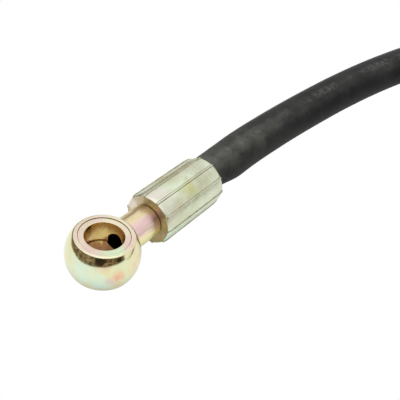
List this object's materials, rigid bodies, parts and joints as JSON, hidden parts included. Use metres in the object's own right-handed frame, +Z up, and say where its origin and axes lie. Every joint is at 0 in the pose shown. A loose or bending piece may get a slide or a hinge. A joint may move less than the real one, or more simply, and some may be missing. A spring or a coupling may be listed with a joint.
{
  "type": "power steering hose",
  "caption": "Black rubber pressure hose with a plated steel banjo eye fitting crimped on each end, for power steering fluid under pressure.",
  "frame": {"origin": "on the ground plane under the middle of the near fitting and its ferrule, where they lie", "axes": "+X runs from the near eye along its stem and ferrule to the hose, +Z is up and parallel to the eye's bore"},
  "size_m": [0.3339, 0.243, 0.0225],
  "materials": {
    "yellow_zinc_steel": "yellow passivated zinc, semi-bright",
    "pale_zinc_steel": "pale passivated zinc, semi-bright",
    "hose_rubber": "matt vulcanised cover"
  },
  "bodies": {
    "root": {"near_banjo_fitting": "yellow_zinc_steel", "near_crimp_ferrule": "pale_zinc_steel", "near_hose_end": "hose_rubber", "hose_run": "hose_rubber", "hose_turn": "hose_rubber", "far_hose_end": "hose_rubber", "far_crimp_ferrule": "pale_zinc_steel", "far_banjo_fitting": "yellow_zinc_steel"}
  },
  "joints": []
}
